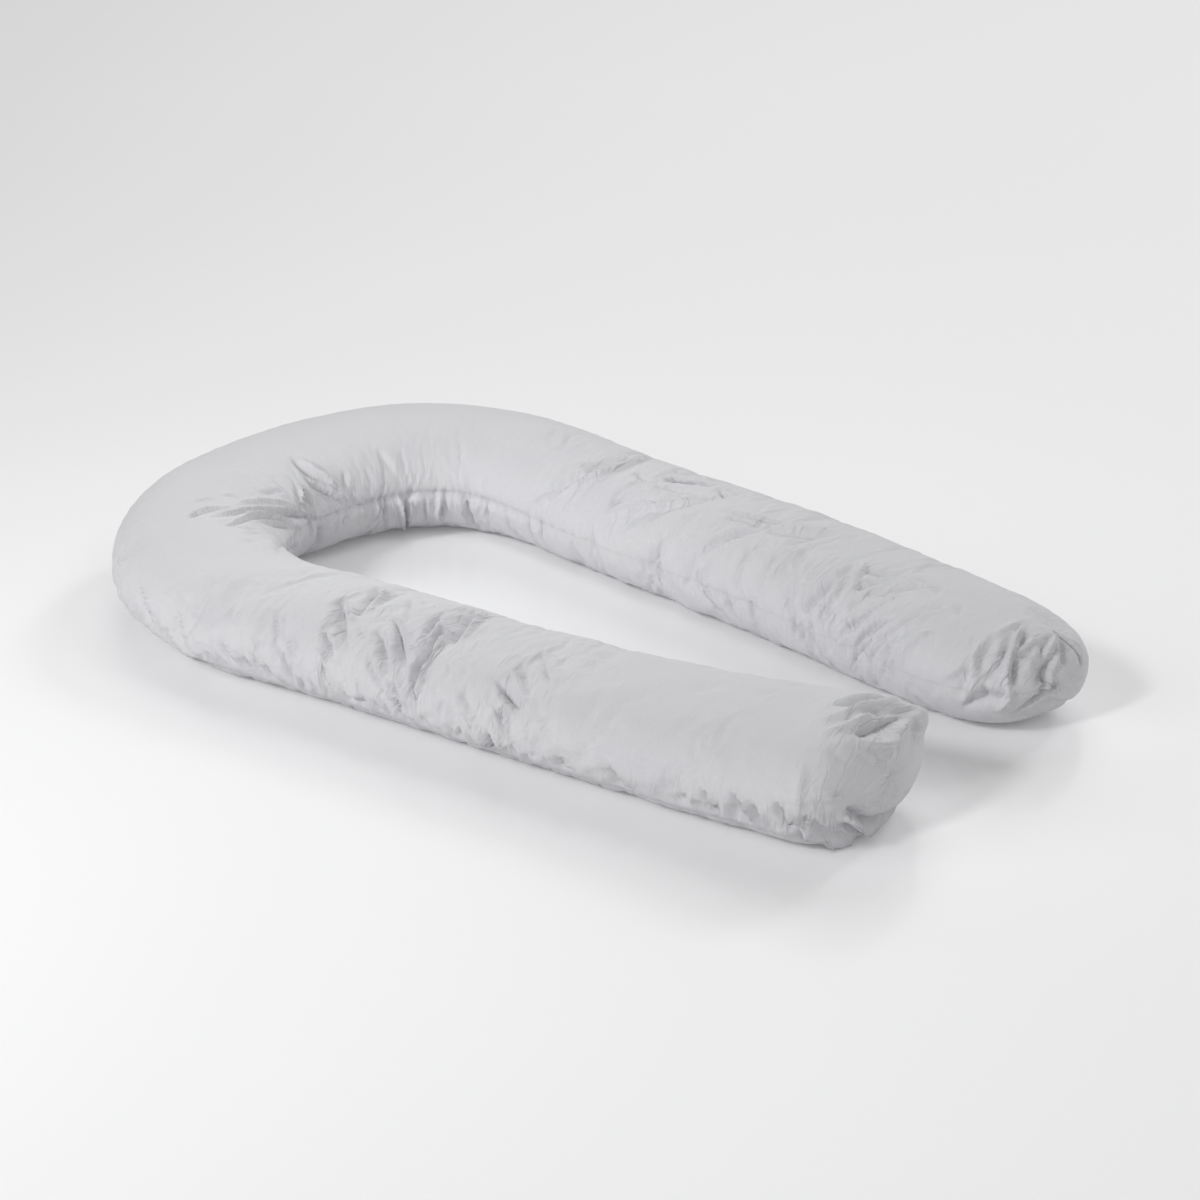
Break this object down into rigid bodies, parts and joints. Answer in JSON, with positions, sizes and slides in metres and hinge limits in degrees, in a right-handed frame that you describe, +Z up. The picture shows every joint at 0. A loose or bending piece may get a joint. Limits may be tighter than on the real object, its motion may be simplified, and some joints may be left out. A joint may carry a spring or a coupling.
{
  "type": "body pillow",
  "caption": "U-shaped body pillow: a soft filled tube curved round at one end into two long legs with closed ends, in a plain gathered cotton cover.",
  "frame": {"origin": "centre of the bounding box, on the surface the pillow lies on", "axes": "+X along the legs from the bend towards their closed ends, +Z up; the straight leg lies on the -Y side and the slanting leg on the +Y side"},
  "size_m": [1.4564, 0.9134, 0.173],
  "materials": {
    "cotton_cover": "matte closely woven cotton, white"
  },
  "bodies": {
    "root": {"body_pillow": "cotton_cover"}
  },
  "joints": []
}
